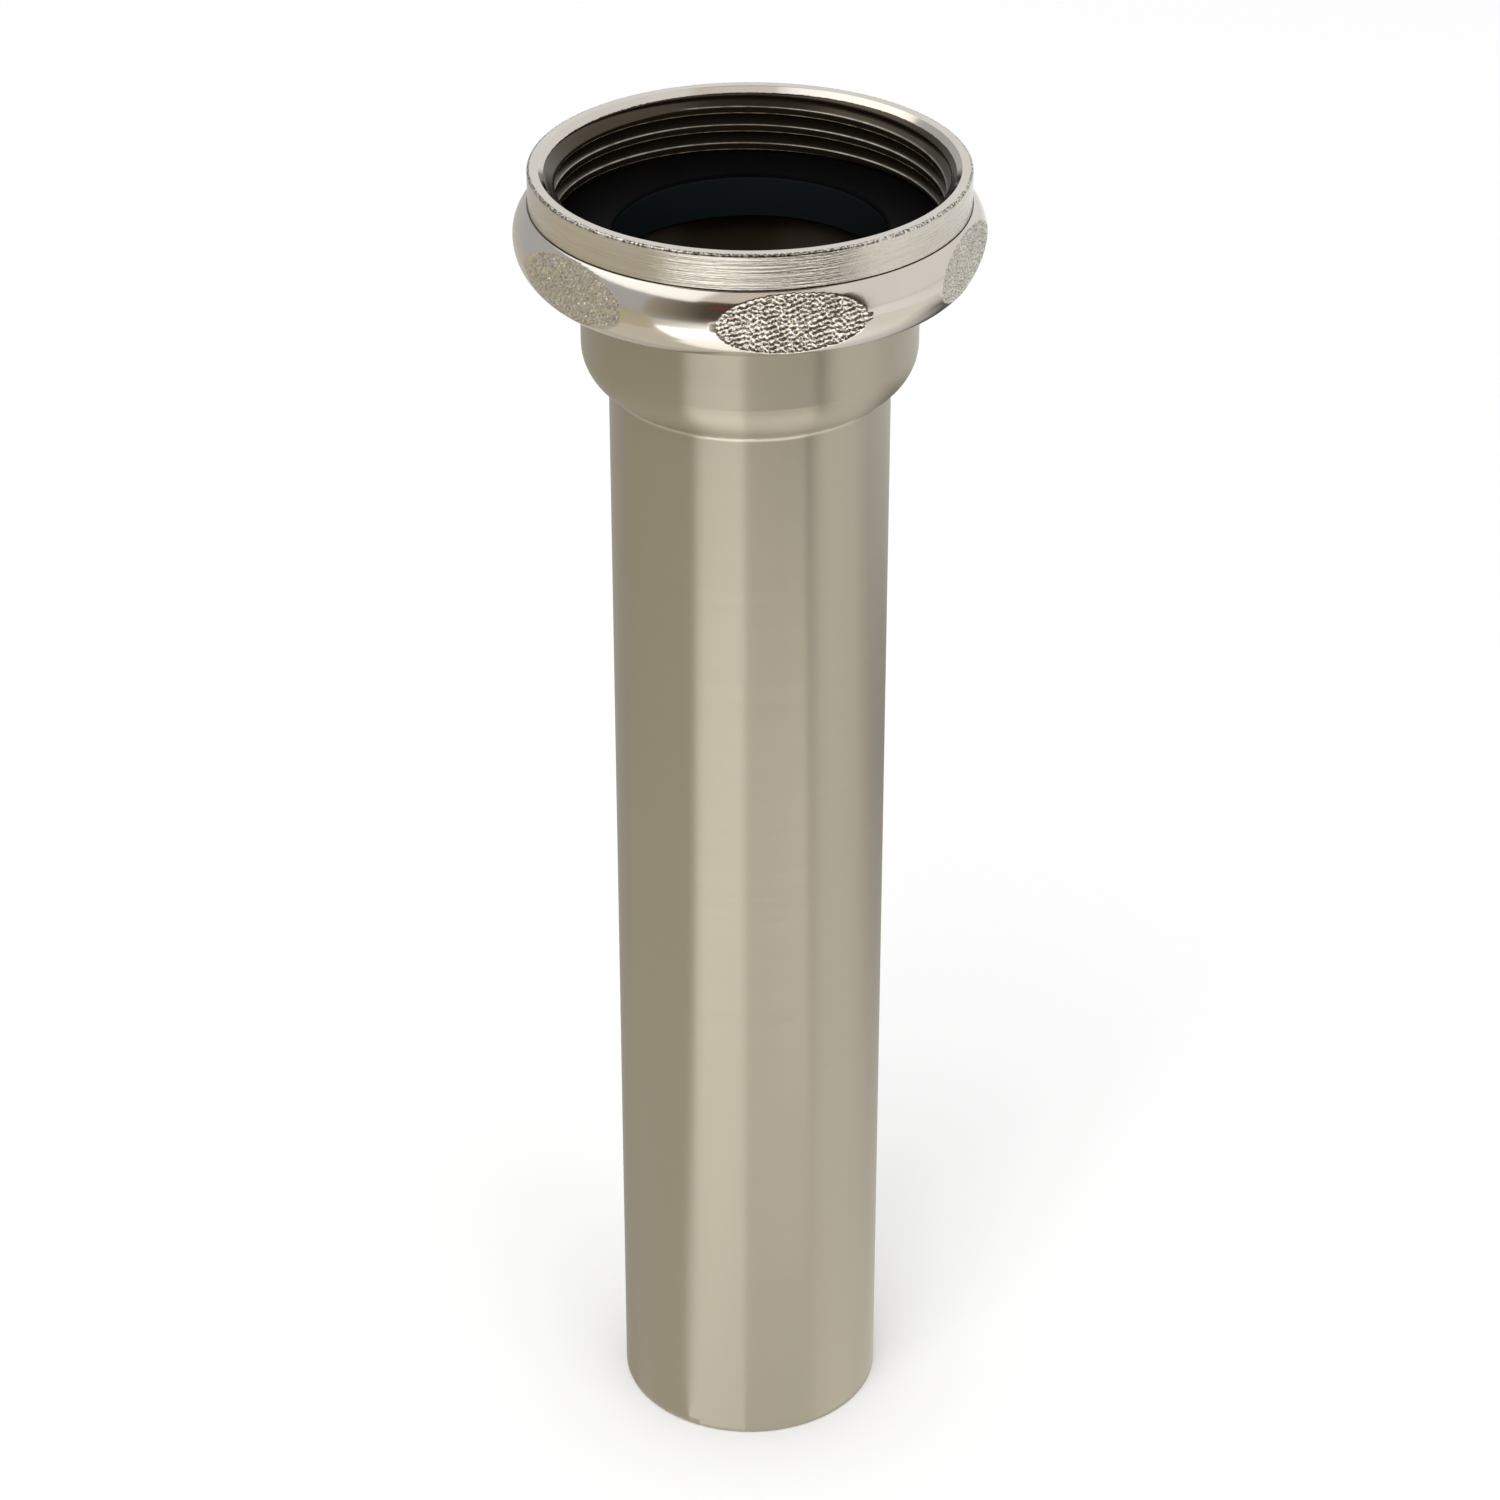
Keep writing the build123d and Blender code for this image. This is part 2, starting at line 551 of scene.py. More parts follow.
def rounded_corner(
    before: np.ndarray, corner: np.ndarray, after: np.ndarray, radius: float
) -> np.ndarray:
    """Replaces a corner of a section by an arc that is tangent to both of its sides.

    With half the turn h, the arc starts r tan(h) before the corner, and its centre lies r to the
    side of that point. A point at share s of the arc is turned about the centre by 2 h s.

    Args:
        before: the point before the corner, as radius and height.
        corner: the corner.
        after: the point after it.
        radius: the arc's radius.

    Returns:
        The arc's points, with one more a little way out on each side, which keeps the shading
        of the straight stretches flat.
    """
    inward = (corner - before) / np.linalg.norm(corner - before)
    outward = (after - corner) / np.linalg.norm(after - corner)
    turn = math.atan2(inward[0] * outward[1] - inward[1] * outward[0], float(inward @ outward))
    start = corner - radius * math.tan(abs(turn) / 2) * inward
    side = math.copysign(1.0, turn)
    centre = start + radius * (side * np.array((-inward[1], inward[0])))
    arc_steps = ARC_STEPS if radius > FINE_RADIUS else FINE_ARC_STEPS
    angles = turn * np.linspace(0.0, 1.0, arc_steps + 1)
    spoke = start - centre
    arc = centre + np.stack(
        (
            spoke[0] * np.cos(angles) - spoke[1] * np.sin(angles),
            spoke[0] * np.sin(angles) + spoke[1] * np.cos(angles),
        ),
        axis=-1,
    )
    return np.vstack((arc[0] - CORNER_MARGIN * inward, arc, arc[-1] + CORNER_MARGIN * outward))


@dataclass(frozen=True)
class Thread:
    """A right-hand inside thread: flat crests, with grooves of a given angle between them.

    The points across the crest lie at given distances from each of its edges. The run-out is how
    far below the relief groove's top the crest starts, in half pitches, and sunk is how deep the
    ridge's edges lie in the wall.
    """

    pitch: float = 2.209 * MM
    crest_width: float = 0.78 * MM
    flank_degrees: float = 30.0
    edge_radius: float = 0.06 * MM
    groove_depth: float = 1.18 * MM
    crest_at_back: float = 160.1 * MM
    steps_a_turn: int = 200
    # The edge values paint a highlight on the upper edge and a golden reflection on the lower one,
    # besides wear
    upper_wear_and_highlight: float = 0.6
    lower_wear_and_reflection: float = -1.4
    from_edge_mm: tuple[float, ...] = (-0.2, -0.1, -0.05, 0.0, 0.05, 0.1, 0.2, 0.38, 0.56, 0.66)
    run_out: float = 0.9
    sunk: float = 0.1 * MM

    def columns(self) -> np.ndarray:
        """Chooses the columns of the ridge's grid, close together at the rounded edges.

        Returns:
            Their distances from the crest's middle, the last ones half a pitch out.
        """
        side = self.crest_width / 2 + np.array(self.from_edge_mm) * MM
        side = np.append(side, self.pitch / 2)
        return np.concatenate((-side[::-1], (0.0,), side))

    def profile(self, across: np.ndarray, crest_radius: float) -> np.ndarray:
        """Gives the thread's radius at a distance along the axis from the middle of its crest.

        The radius grows from the crest's by u / tan(flank), where u is how far the point lies
        past the crest's edge. The half sum of u and the root of u squared plus e squared is the
        same but for a rounded edge.

        Args:
            across: distances from the middle of the crest.
            crest_radius: the radius of the crest.

        Returns:
            A radius for each distance.
        """
        past = np.abs(across) - self.crest_width / 2
        rounded = (past + np.sqrt(past**2 + self.edge_radius**2)) / 2
        return crest_radius + rounded / math.tan(math.radians(self.flank_degrees))

    def wear_and_highlight(self, across: np.ndarray) -> np.ndarray:
        """Gives the thread's wear and painted highlight at a distance along the axis from the
        middle of its crest.

        With u for the distance from the crest's edge in edge radii, it falls off as exp(-u u).

        Args:
            across: distances from the middle of the crest.

        Returns:
            A value for each distance, above 0 at the upper edge, where it paints a highlight, and
            below 0 at the lower one, where it paints a golden reflection.
        """
        from_edge = (np.abs(across) - self.crest_width / 2) / self.edge_radius
        return np.exp(-(from_edge**2)) * np.where(across > 0, self.upper_wear_and_highlight, self.lower_wear_and_reflection)


@dataclass(frozen=True)
class Stipple:
    """The cast grain of the nut's flats: waves of about one length in all directions.

    The coarsest and the finest waves are given by how many of them there are to the grain.
    """

    grain: float = 0.45 * MM
    depth: float = 0.36 * MM
    waves: int = 72
    coarsest: float = 0.65
    finest: float = 1.35
    seed: int = 7

    def height(self, along: np.ndarray, up: np.ndarray, flat: int) -> np.ndarray:
        """Gives the grain's height, which is never above the flat.

        It is a sum of cosines whose wave vectors point in random directions, with lengths near
        one over the grain. Over the root of half their number its spread is 1. It is squeezed by
        tanh, so that peaks and pits are flat, and lowered.

        Args:
            along: distances across the flat.
            up: heights.
            flat: the flat's number, which picks its own waves.

        Returns:
            A height for each point, from minus the depth to 0.
        """
        random = np.random.default_rng((self.seed, flat))
        direction = random.uniform(0.0, TURN, self.waves)
        number = TURN / self.grain * random.uniform(self.coarsest, self.finest, self.waves)
        phase = random.uniform(0.0, TURN, self.waves)
        wave_along = along[..., None] * (number * np.cos(direction))
        wave_up = up[..., None] * (number * np.sin(direction))
        total = np.cos(wave_along + wave_up + phase).sum(axis=-1) / math.sqrt(self.waves / 2)
        return self.depth * (np.tanh(total) - 1.0) / 2


@dataclass(frozen=True)
class Corner:
    """A corner of the nut's section: its place, its rounding, and the finishes of both."""

    radius: float
    height: float
    rounding: float
    after: NutFinish
    rounded: NutFinish | None = None

    def finishes(self, count: int) -> np.ndarray:
        """Gives the finish after each of the rounding's points, the last of which ends it."""
        rounded = self.after if self.rounded is None else self.rounded
        return np.array([rounded.value] * (count - 1) + [self.after.value])


@dataclass
class UnionNut:
    """The union nut: a lip, a round belly with six oval flats, a turned collar and a thread."""

    lip_thickness: float = 1.2 * MM
    lip_chamfer: float = 0.35 * MM
    body_height: float = 7.6 * MM
    belly_low_height: float = 4.02 * MM
    belly_low_drop: float = 1.82 * MM
    belly_high_drop: float = 1.62 * MM
    foot_edge_radius: float = 0.4 * MM
    collar_step: float = 0.12 * MM
    undercut: float = 0.11 * MM
    rim_width: float = 1.22 * MM
    rim_edge_radius: float = 0.28 * MM
    hole_radius: float = 19.325 * MM
    relief_radius: float = 22.725 * MM
    relief_top: float = 157.4 * MM
    relief_corner: float = 0.3 * MM
    flat_count: int = 6
    flat_depth: float = 1.24 * MM
    first_flat_degrees: float = -79.8
    flat_half_degrees: float = 18.2
    columns_between_flats: int = 12
    edge_radius: float = 0.06 * MM
    grain_margin: float = 0.1 * MM
    belly_step: float = 0.17 * MM
    thread: Thread = Thread()
    stipple: Stipple = Stipple()

    def __post_init__(self) -> None:
        """Takes the nut's outer sizes from its solid and its crest from the record's mount."""
        low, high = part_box("union_nut")
        self.bottom = low.z
        self.rim = high.z
        self.belly_radius = high.x
        self.crest_radius = mount_radius("union_thread")
        self.root_radius = self.crest_radius + self.thread.groove_depth
        self.belly = self.bottom + self.belly_low_height
        self.step = self.bottom + self.body_height
        self.step_radius = self.belly_radius - self.belly_high_drop
        self.collar_radius = self.step_radius - self.collar_step
        self.mouth_radius = self.collar_radius - self.rim_width
        self.lead_end = self.rim - (self.mouth_radius - self.root_radius)
        self.apothem = self.belly_radius - self.flat_depth
        self.seat = self.bottom + self.lip_thickness

    def cone(self, height: np.ndarray) -> np.ndarray:
        """Gives the lead-in's radius: the mouth's, less the depth below the rim."""
        return self.mouth_radius - (self.rim - height)

    def wall(self, height: np.ndarray) -> np.ndarray:
        """Gives the radius at the bottom of the thread's grooves, or the lead-in's above them."""
        return np.maximum(self.root_radius, self.cone(height))

    def belly_section(self) -> np.ndarray:
        """Works out the belly's section, from the underside up to the step.

        Two arcs meet upright at the widest place. One that drops by d over a height h has the
        radius (h squared + d squared) / (2 d). Below, a small arc of radius f rounds the foot:
        its centre lies f above the underside, and R - f from the centre of the lower arc.

        Returns:
            Radius and height of each point.
        """
        foot, rise = self.foot_edge_radius, self.step - self.belly
        low_drop, high_drop = self.belly_low_drop, self.belly_high_drop
        low_radius = (self.belly_low_height**2 + low_drop**2) / (2 * low_drop)
        high_radius = (rise**2 + high_drop**2) / (2 * high_drop)
        foot_height = foot - self.belly_low_height
        low_angle = math.asin(foot_height / (low_radius - foot))
        foot_centre = -low_radius + (low_radius - foot) * math.cos(low_angle)
        arcs = (
            (foot, -math.pi / 2, low_angle, foot_centre, foot_height),
            (low_radius, low_angle, 0.0, -low_radius, 0.0),
            (high_radius, 0.0, math.asin(rise / high_radius), -high_radius, 0.0),
        )
        parts = []
        for radius, start, end, centre_radius, centre_height in arcs:
            steps = max(math.ceil(radius * (end - start) / self.belly_step), ARC_STEPS)
            angle = np.linspace(start, end, steps + 1)[:-1]
            from_axis = centre_radius + radius * np.cos(angle)
            parts.append(np.stack((from_axis, centre_height + radius * np.sin(angle)), -1))
        parts.append(np.array([[-high_drop, rise]]))
        return np.vstack(parts) + (self.belly_radius, self.belly)

    def rest_of_section(self) -> tuple[np.ndarray, np.ndarray]:
        """Works out the section from the step over the collar and the inside to the underside.

        Returns:
            Radius and height of each point, and the finish of the stretch after each point.
        """
        chamfer, fine = self.lip_chamfer, self.edge_radius
        foot_radius = self.belly_radius - self.belly_low_drop - self.foot_edge_radius
        polished, turned = NutFinish.POLISHED, NutFinish.TURNED
        painted_shade_finish, burred = NutFinish.THREADED, NutFinish.BURRED
        corners = [
            Corner(self.step_radius, self.step, 0.0, polished),
            # Painted shade: the ledge under the step takes the thread's darkened finish
            Corner(self.collar_radius - self.undercut, self.step, fine / 2, painted_shade_finish),
            Corner(self.collar_radius, self.step + self.undercut, fine / 2, turned),
            Corner(self.collar_radius, self.rim, self.rim_edge_radius, polished, burred),
            Corner(self.mouth_radius, self.rim, fine, polished),
            Corner(self.root_radius, self.lead_end, fine, painted_shade_finish, burred),
            Corner(self.root_radius, self.relief_top, fine / 2, painted_shade_finish),
            Corner(self.relief_radius, self.relief_top, fine / 2, painted_shade_finish),
            Corner(self.relief_radius, self.seat, self.relief_corner, painted_shade_finish),
            Corner(self.hole_radius + chamfer, self.seat, fine, turned),
            Corner(self.hole_radius, self.seat - chamfer, fine, turned),
            Corner(self.hole_radius, self.bottom + chamfer, fine, turned),
            Corner(self.hole_radius + chamfer, self.bottom, fine, polished),
            Corner(foot_radius, self.bottom, 0.0, polished),
        ]
        points = np.array([(corner.radius, corner.height) for corner in corners])
        section, finishes = [], []
        for number, corner in enumerate(corners[1:-1], start=1):
            rounding = rounded_corner(*points[number - 1 : number + 2], corner.rounding)
            section.append(rounding)
            finishes.append(corner.finishes(len(rounding)))
        return np.vstack(section), np.concatenate(finishes)

    def columns(self) -> tuple[np.ndarray, np.ndarray]:
        """Chooses the angles of the grid's columns, close together on the flats.

        Returns:
            The angles in radians, and each one's angle from the middle of the nearest flat.
        """
        flat_half = math.radians(self.flat_half_degrees)
        sector_half = math.pi / self.flat_count
        flat_steps = round(2 * flat_half * self.apothem / self.belly_step)
        dense = np.linspace(-flat_half, flat_half, flat_steps + 1)
        between = 2 * sector_half - flat_half
        loose = np.linspace(flat_half, between, self.columns_between_flats)[1:-1]
        sector = np.concatenate((dense, loose))
        first = math.radians(self.first_flat_degrees)
        starts = first + 2 * sector_half * np.arange(self.flat_count)
        angles = (starts[:, None] + sector).ravel()
        from_flat = np.where(sector > sector_half, sector - 2 * sector_half, sector)
        return angles, np.tile(from_flat, self.flat_count)

    def flats(self, belly: np.ndarray, from_flat: np.ndarray) -> np.ndarray:
        """Works out the radius of the stippled flats all round, as far as the belly reaches.

        A flat at distance a from the axis has the radius a / cos(t) at the angle t from its
        middle. The grain is added to it. It fades out where the flat comes above the belly, over
        the grain margin, which leaves a ragged edge.

        Args:
            belly: radius and height of the points of the belly's section.
            from_flat: each column's angle from the middle of the nearest flat.

        Returns:
            A radius for each point of the section, in each column.
        """
        flat_radius = (self.apothem / np.cos(from_flat))[None, :]
        cut = belly[:, 0][:, None] - flat_radius
        on_flat = np.clip(cut / self.grain_margin + 1.0, 0.0, 1.0)
        across = self.apothem * np.tan(from_flat)
        grain = np.zeros_like(cut)
        for flat, mine in enumerate(np.split(np.arange(len(across)), self.flat_count)):
            grid = np.meshgrid(across[mine], belly[:, 1])
            grain[:, mine] = self.stipple.height(*grid, flat)
        return flat_radius + on_flat * grain

    def shell(self) -> Surface:
        """Makes the nut but for its thread: the section carried round the axis, cut by the flats.

        The surface takes the smaller of the belly's radius and the flats'. The ledge between the
        belly and the collar takes the thread's darkened finish, a painted shade for its crease.

        Returns:
            A closed surface.
        """
        belly = self.belly_section()
        rest, rest_finishes = self.rest_of_section()
        angles, from_flat = self.columns()
        belly_radius = belly[:, 0][:, None]
        flats = self.flats(belly, from_flat)
        rest_radius = np.repeat(rest[:, 0][:, None], len(angles), axis=1)
        radius = np.vstack((np.minimum(belly_radius, flats), rest_radius))
        height = np.concatenate((belly[:, 1], rest[:, 1]))
        points = turned_point(radius, angles[None, :], height[:, None]).reshape(-1, 3)
        faces = grid_faces(len(height), len(angles), close_rows=True)
        stippled, polished = NutFinish.STIPPLED.value, NutFinish.POLISHED.value
        belly_finish = np.where(flats < belly_radius, stippled, polished)
        # Painted shade: the ledge's row takes the thread's darkened finish
        belly_finish[-1] = NutFinish.THREADED.value
        rest_finish = np.repeat(rest_finishes[:, None], len(angles), axis=1)
        finishes = np.vstack((belly_finish, rest_finish)).ravel()
        return Surface(points, np.zeros(len(points)), faces, finishes)

    def thread_ridge(self) -> Surface:
        """Makes the thread: its crest carried up a right-hand helix, sunk into the shell.

        The middle of the crest climbs by one pitch a turn. The lead-in's cone cuts it off at the
        top and the relief groove at the bottom, and where it is cut away it lies in the wall.

        Returns:
            A closed surface.
        """
        thread, sunk = self.thread, self.thread.sunk
        half = thread.pitch / 2
        across = thread.columns()
        first = self.relief_top - thread.run_out * half
        last = self.lead_end + half
        steps = math.ceil((last - first) / thread.pitch * thread.steps_a_turn)
        middle = np.linspace(first, last, steps + 1)
        angle = math.pi / 2 + TURN * (middle - thread.crest_at_back) / thread.pitch
        height = np.clip(middle[:, None] + across, self.relief_top, self.rim - 2 * sunk)
        profile, cone = thread.profile(across, self.crest_radius), self.cone(height)
        radius = np.maximum(profile, cone)
        # Painted highlight and reflection: the crest's edges carry these values
        wear_and_highlight = np.where(profile > cone, thread.wear_and_highlight(across), 0.0)
        wall = self.wall(height)
        radius = np.where(radius >= wall, wall + sunk, radius)
        back_height = height[:, [-1, 0]]
        back_radius = self.wall(back_height) + 2 * sunk
        height = np.hstack((height, back_height))
        radius = np.hstack((radius, back_radius))
        wear_and_highlight = np.hstack((wear_and_highlight, np.zeros_like(back_height)))
        points = turned_point(radius, angle[:, None], height).reshape(-1, 3)
        faces = grid_faces(*height.shape, close_rows=False)
        finishes = np.full(len(faces), NutFinish.THREADED.value)
        return Surface(points, wear_and_highlight.ravel(), faces, finishes)

    def build(self) -> bpy.types.Object:
        """Puts the shell and the thread into one mesh and dresses it.

        Returns:
            The nut, riding on its body in place of its solid.
        """
        shell, ridge = self.shell(), self.thread_ridge()
        points = np.vstack((shell.points, ridge.points))
        faces = np.vstack((shell.faces, ridge.faces + len(shell.points)))
        nut = mesh_object("nut", points, faces)
        for finish in NutFinish:
            nut.data.materials.append(NUT_FINISHES[finish].material())
        finishes = np.concatenate((shell.finishes, ridge.finishes)).astype(np.int32)
        nut.data.polygons.foreach_set("material_index", finishes)
        set_attribute(nut, WEAR_AND_HIGHLIGHT, np.concatenate((shell.wear_and_highlight, ridge.wear_and_highlight)))
        nut.data.update()
        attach(nut, "nut")
        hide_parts("union_nut")
        return nut


def mesh_object(name: str, points: np.ndarray, faces: np.ndarray) -> bpy.types.Object:
    """Makes a smooth object at the origin from arrays of points and of faces.

    Args:
        name: the object's name.
        points: x, y and z of each point.
        faces: the numbers of each face's points.

    Returns:
        The object, linked to the scene.
    """
    mesh = bpy.data.meshes.new(name)
    mesh.from_pydata(points.tolist(), [], faces.tolist())
    mesh.polygons.foreach_set("use_smooth", np.ones(len(faces), bool))
    mesh.update()
    made = bpy.data.objects.new(name, mesh)
    bpy.context.scene.collection.objects.link(made)
    return made


def set_attribute(thing: bpy.types.Object, name: str, values: np.ndarray) -> None:
    """Gives each of a mesh's points a number that its materials can read.

    Args:
        thing: the object of the mesh.
        name: the attribute's name.
        values: one number for each point.
    """
    attribute = thing.data.attributes.new(name, "FLOAT", "POINT")
    attribute.data.foreach_set("value", values)


def dressed_node(name: str, material: bpy.types.Material) -> bpy.types.Object:
    """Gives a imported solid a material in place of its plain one.

    Args:
        name: the node's name.
        material: its new material.

    Returns:
        The node's object.
    """
    node = frame["nodes"][name]
    node.data.materials.clear()
    node.data.materials.append(material)
    return node


@dataclass(frozen=True)
class TailPipe:
    """The drawn pipe, which keeps its solid and gets a brushed skin and a bare inside darkened as a
    painted shade of the bore.
    """

    finish: TurnedNickel = TurnedNickel(
        "pipe_brushed",
        colour=(0.45, 0.41, 0.33),
        streak_colour=(0.40, 0.365, 0.29),
        # Painted shade: the bore's bare brass is darkened
        bare_inside_and_shade_colour=(0.15, 0.12, 0.09),
        groove_length=20 * MM,
        # The ring at the seam is a painted highlight as well as a burnish
        highlight_ring_height=138.9 * MM,
    )

    def build(self) -> bpy.types.Object:
        """Gives the pipe's solid its finish and returns it."""
        return dressed_node("tail_pipe", self.finish.material())


@dataclass(frozen=True)
class Washer:
    """The rubber washer, which keeps its solid and gets a moulded skin."""

    finish: MouldedRubber = MouldedRubber(
        "washer_rubber",
        colour=(0.0015, 0.0015, 0.0015),
        bloom_colour=(0.005, 0.0045, 0.0045),
        # Painted shade on the hole's edge, painted light on the sleeve wall
        edge_painted_shade_colour=(0.0006, 0.0006, 0.0006),
        wall_painted_light_colour=(0.0085, 0.0115, 0.0125),
    )

    def build(self) -> bpy.types.Object:
        """Gives the washer's solid its finish and returns it."""
        return dressed_node("washer", self.finish.material())


def level_line(*spots: tuple[float, float, float], height: float = LIFT) -> Line:
    """Lays a card's line out level, from distances, first strengths and last ones."""
    return tuple((distance, height, first, last) for distance, first, last in spots)


def upright_line(*spots: tuple[float, float, float], distance: float = WALL) -> Line:
    """Stands a card's line upright, from heights, first strengths and last ones."""
    return tuple((distance, height, first, last) for height, first, last in spots)


@dataclass(frozen=True)
class Card:
    """A studio card that only reflections see: a line carried round the object.

    Each of the line's points has a distance from the axis and a height, and then the strength of
    the light at the card's first angle and at its last one. The angles are counted from the
    direction of the camera, and grow to the right.
    """

    name: str
    from_degrees: float
    to_degrees: float
    colour: Colour
    line: Line
    columns: int = 25

    def build(self) -> None:
        """Makes the card: its line, turned about the axis from one angle to the other.

        The pipe's skin at the angle a / 2 reflects the camera's view in the direction a. So the
        line at the angle a starts from that spot and runs in that direction, which keeps the
        card's sides upright in the pipe down to the floor. At the share s of the way round, a
        point's light is its first strength plus s times the difference to its last one.
        """
        share = np.linspace(0.0, 1.0, self.columns)
        angle = np.radians(self.from_degrees + (self.to_degrees - self.from_degrees) * share)
        radius, height, first, last = np.array(self.line).T[:, :, None]
        on_skin = np.minimum(radius, SKIN)
        spot = turned_point(on_skin, angle / 2 - math.pi / 2, np.zeros_like(height))
        points = spot + turned_point(np.maximum(radius - SKIN, 0.0), angle - math.pi / 2, height)
        bands = len(self.line) - 1
        faces = grid_faces(bands + 1, self.columns, close_rows=False)
        faces = faces.reshape(bands, self.columns, 4)[:, :-1].reshape(-1, 4)
        card = mesh_object(self.name, points.reshape(-1, 3), faces)
        set_attribute(card, GLOW, (first + (last - first) * share).ravel())
        graph = Graph(bpy.data.materials.new(self.name))
        strength = graph.add("Attribute", attribute_name=GLOW).outputs["Fac"]
        light = graph.add("Emission", {"Color": rgba(self.colour), "Strength": strength})
        card.data.materials.append(graph.finish(light))
        card.visible_camera = False
        card.visible_diffuse = False
        card.visible_shadow = False
        card.visible_transmission = False


@dataclass(frozen=True)
class SoftBox:
    """An upright area lamp that faces the object, placed by its angle from the camera."""

    name: str
    degrees: float
    height: float
    width: float
    length: float
    watts: float
    distance: float = 1.2
    aim_height: float = 80 * MM

    def build(self) -> None:
        """Makes the lamp, aimed at the middle of the pipe."""
        lamp = bpy.data.lights.new(self.name, "AREA")
        lamp.shape = "RECTANGLE"
        lamp.size = self.width
        lamp.size_y = self.length
        lamp.energy = self.watts
        made = bpy.data.objects.new(self.name, lamp)
        angle = math.radians(self.degrees) - math.pi / 2
        x, y = self.distance * math.cos(angle), self.distance * math.sin(angle)
        made.location = (x, y, self.height)
        aim = math.atan2(self.height - self.aim_height, self.distance)
        made.rotation_euler = (math.pi / 2 - aim, 0.0, angle + math.pi / 2)
        made.visible_camera = False
        made.visible_glossy = False
        bpy.context.scene.collection.objects.link(made)


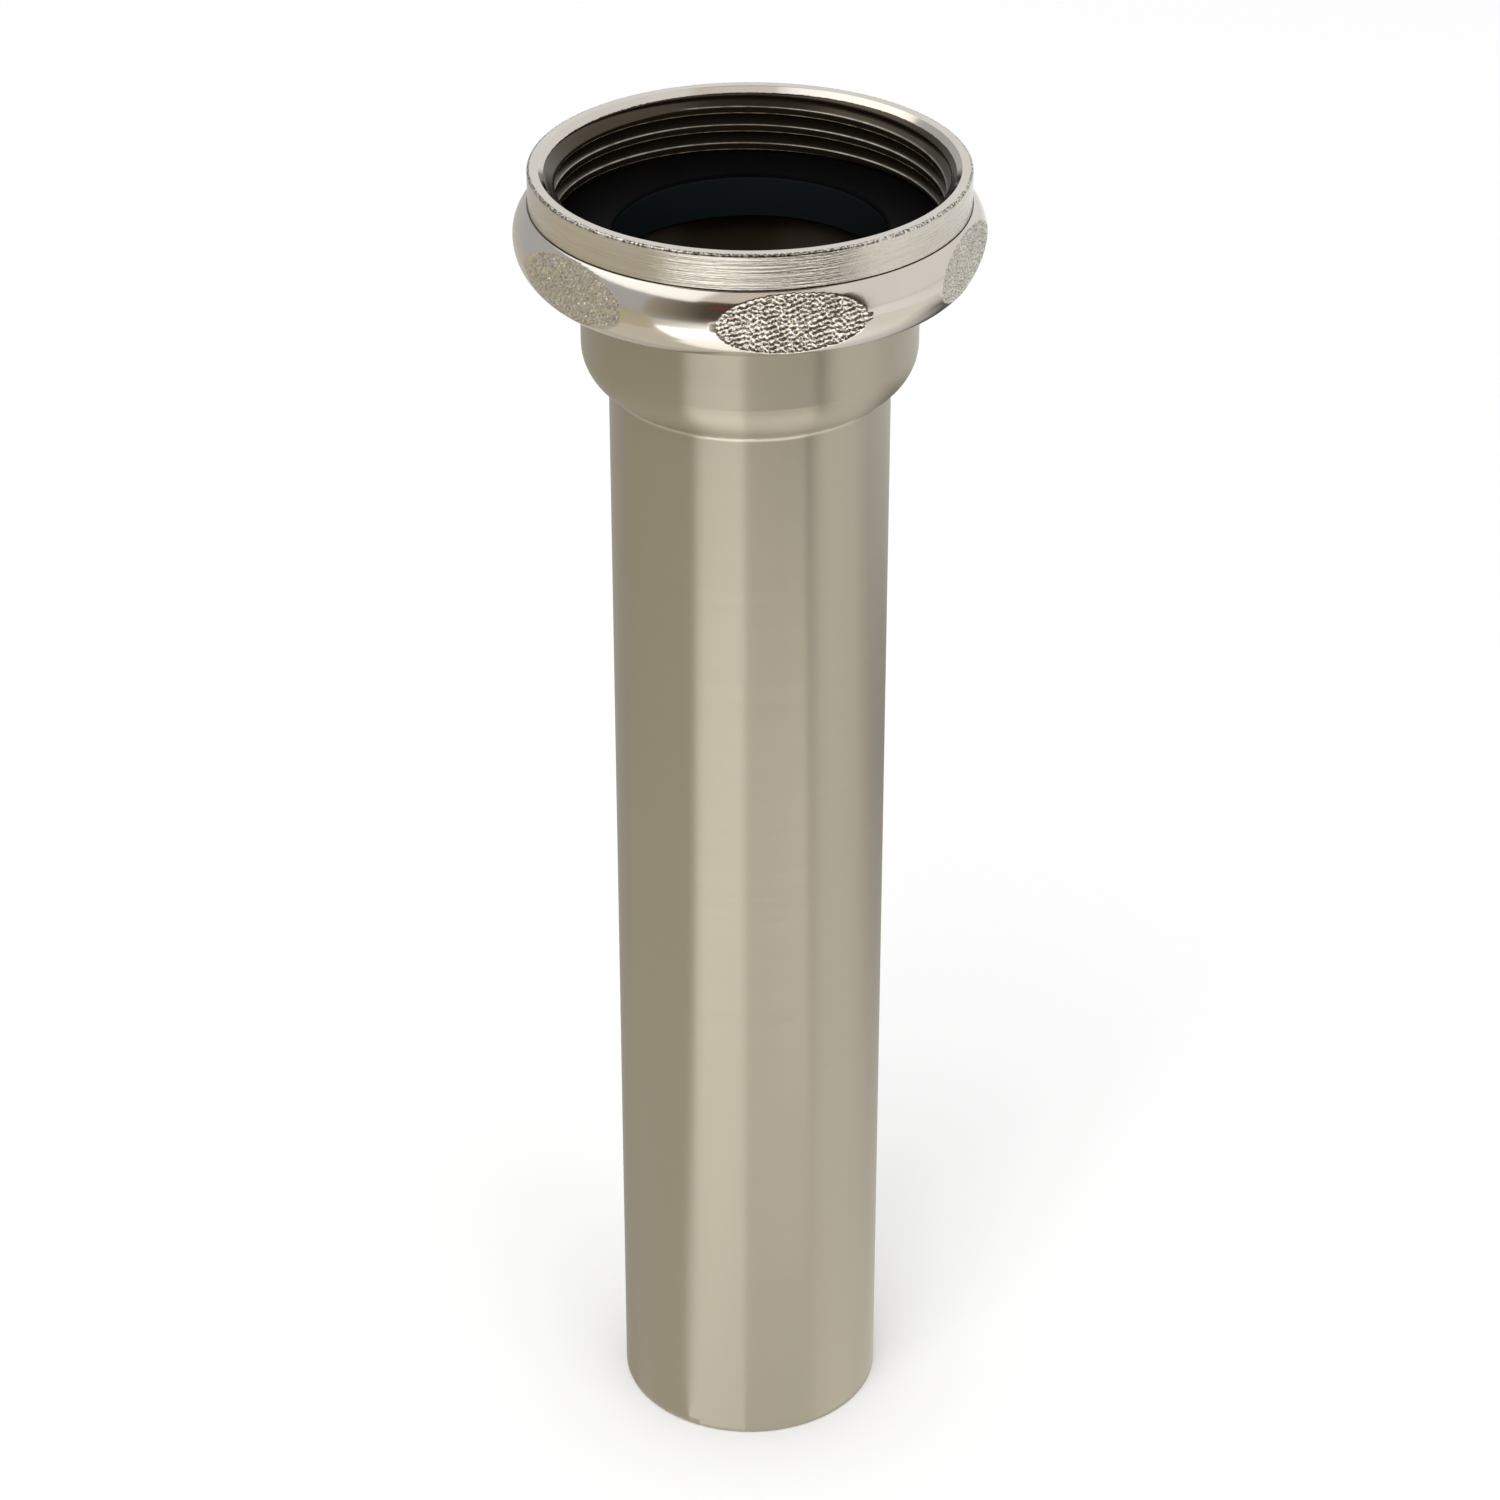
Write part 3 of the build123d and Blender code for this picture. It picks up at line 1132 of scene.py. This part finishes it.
@dataclass(frozen=True)
class Studio:
    """A pale floor, soft lamps, cards for the metal to reflect, and the photograph's camera."""

    floor_size: float = 6.0
    floor_colour: Colour = (0.90, 0.90, 0.90)
    world_strength: float = 0.95
    soft_boxes: tuple[SoftBox, ...] = (
        SoftBox("key_lamp", degrees=-25.3, height=0.75, width=0.955, length=1.5, watts=10.0),
        SoftBox("fill_lamp", degrees=40.0, height=0.8, width=1.0, length=1.0, watts=3.0),
    )
    cards: tuple[Card, ...] = (
        Card(
            "left_end", -170, -125, (1.0, 0.95, 0.86),
            level_line((SKIN, 0.62, 0.62), (WALL, 0.62, 0.62)),
        ),
        Card(
            "left_floor", -125, -47, (1.0, 0.95, 0.82),
            level_line((SKIN, 0.77, 0.77), (0.2, 0.77, 0.77)),
        ),
        Card(
            "gold_floor", -125, -47, (1.0, 0.91, 0.70),
            level_line((0.2, 0.66, 0.66), (WALL, 0.58, 0.58)),
        ),
        Card(
            "left_wall", -170, -50, (0.96, 0.97, 1.0),
            upright_line((0.0, 0.60, 0.60), (0.80, 0.60, 0.60)),
        ),
        Card(
            "left_top", -130, -28, WHITE,
            ((WALL, 0.80, 1.7, 0.9), (0.88, 0.93, 1.9, 1.6), (0.55, 1.5, 1.9, 1.6)),
        ),
        Card(
            "bright_floor", -47, -4.5, (1.0, 0.99, 0.97),
            level_line(
                (SKIN, 1.45, 1.45), (0.12, 1.75, 1.75), (0.2, 2.7, 2.6), (0.25, 2.8, 3.2),
                (0.275, 1.2, 2.8), (0.31, 0.8, 2.1), (0.5, 0.7, 1.1), (0.7, 0.45, 0.5),
                (WALL, 0.35, 0.2),
            ),
        ),
        Card(
            "band_foot", -58, -47, (1.0, 0.99, 0.97),
            level_line((SKIN, 1.45, 1.45), (0.055, 1.4, 1.5), (0.1, 0.77, 1.6), height=2 * LIFT),
        ),
        Card(
            "middle_floor", -4.5, 30, (1.0, 0.98, 0.95),
            level_line(
                (SKIN, 1.15, 1.15), (0.1, 1.3, 1.3), (0.16, 1.6, 2.1), (0.215, 2.4, 3.4),
                (0.245, 1.5, 0.8), (0.3, 0.9, 0.25), (0.55, 0.6, 0.2), (0.8, 0.2, 0.12),
                (WALL, 0.12, 0.08),
            ),
        ),
        Card(
            "dark_floor", 30, 50, (1.0, 0.98, 0.95),
            level_line(
                (SKIN, 1.15, 1.15), (0.1, 1.3, 1.2), (0.16, 2.1, 2.0), (0.215, 3.4, 5.0),
                (0.245, 0.8, 0.4), (0.3, 0.25, 0.05), (0.55, 0.2, 0.1), (0.8, 0.12, 0.08),
                (WALL, 0.08, 0.06),
            ),
        ),
        Card(
            "dark_end", -50, -22, (1.0, 0.88, 0.72),
            upright_line((0.0, 0.55, 0.3), (0.16, 0.5, 0.12), (0.93, 0.45, 0.09)),
        ),
        Card(
            "dark_wall", -22, 56, (1.0, 0.78, 0.62),
            upright_line((0.0, 0.3, 0.12), (0.16, 0.12, 0.08), (0.93, 0.08, 0.06)),
        ),
        Card(
            "red_patch", -20, -7, (1.0, 0.25, 0.16),
            upright_line((0.55, 0.24, 0.2), (0.70, 0.24, 0.2), distance=0.89),
        ),
        Card(
            "cream_top", -28, 52, (1.0, 0.92, 0.83),
            ((WALL, 0.93, 0.86, 0.86), (0.55, 1.5, 0.86, 0.86)),
        ),
        Card(
            "right_floor", 50, 98, (1.0, 0.98, 0.94),
            level_line((SKIN, 1.15, 1.18), (0.13, 1.12, 1.12), (0.2, 1.05, 1.0), (0.34, 1.0, 1.0)),
        ),
        Card(
            "right_card", 98, 120, (1.0, 0.98, 0.93),
            level_line(
                (SKIN, 1.15, 1.05), (0.06, 1.1, 1.0), (0.13, 1.1, 0.85), (0.2, 0.92, 0.36),
                (0.34, 0.95, 0.95),
            ),
        ),
        Card(
            "right_end", 120, 170, (1.0, 0.98, 0.95),
            level_line(
                (SKIN, 1.05, 0.95), (0.06, 0.95, 0.85), (0.13, 0.8, 0.55), (0.2, 0.18, 0.0),
                (0.26, 0.8, 0.2), (0.34, 1.1, 0.6),
            ),
        ),
        Card(
            "ceiling", -180, 180, (1.0, 0.95, 0.9),
            level_line((0.0, 0.04, 0.04), (0.47, 0.04, 0.04), height=1.6),
        ),
    )
    lens_mm: float = 101.75
    camera_place: tuple[float, float, float] = (0.0, -0.43196, 0.34433)
    camera_tilt_degrees: float = 59.54

    def floor(self) -> None:
        """Makes the floor: a large square with a plain matt skin, open to a view from below."""
        half = self.floor_size / 2
        points = np.array(((-half, -half, 0), (half, -half, 0), (half, half, 0), (-half, half, 0)))
        floor = mesh_object("floor", points, np.array(((0, 1, 2, 3),)))
        graph = Graph(bpy.data.materials.new("floor"))
        below = graph.add("NewGeometry").outputs["Backfacing"]
        matt = graph.add("BsdfDiffuse", {"Color": rgba(self.floor_colour)}).outputs[0]
        clear = graph.add("BsdfTransparent").outputs[0]
        skin = graph.finish(graph.add("MixShader", {0: below, 1: matt, 2: clear}))
        floor.data.materials.append(skin)

    def world(self) -> None:
        """Makes the world: white to the camera and in reflections, and a soft light elsewhere."""
        world = bpy.data.worlds.new("studio")
        bpy.context.scene.world = world
        graph = Graph(world)
        path = graph.add("LightPath").outputs
        seen = graph.math("MAXIMUM", path["Is Camera Ray"], path["Is Glossy Ray"])
        seen = graph.math("MAXIMUM", seen, path["Is Transmission Ray"])
        sockets = {"Value": seen, "To Min": self.world_strength, "To Max": 1.0}
        strength = graph.add("MapRange", sockets).outputs["Result"]
        background = graph.add("Background", {"Color": rgba(WHITE), "Strength": strength})
        graph.add("OutputWorld", {"Surface": background.outputs[0]})

    def camera(self) -> None:
        """Sets up the camera where the photograph's outline puts it."""
        lens = bpy.data.cameras.new("camera")
        lens.lens = self.lens_mm
        camera = bpy.data.objects.new("camera", lens)
        camera.location = self.camera_place
        camera.rotation_euler = (math.radians(self.camera_tilt_degrees), 0.0, 0.0)
        bpy.context.scene.collection.objects.link(camera)
        bpy.context.scene.camera = camera

    def build(self) -> None:
        """Builds the studio and sets the plain view transform."""
        bpy.context.scene.view_settings.view_transform = "Standard"
        self.floor()
        self.world()
        self.camera()
        for thing in (*self.soft_boxes, *self.cards):
            thing.build()


def main() -> None:
    """Builds and dresses every piece, then the studio."""
    logging.basicConfig(level=logging.INFO, format="%(message)s")
    for assembly in (TailPipe(), Washer(), UnionNut()):
        piece = assembly.build()
        log.info("%s: %d faces", piece.name, len(piece.data.polygons))
    Studio().build()


if __name__ == "__main__":
    main()
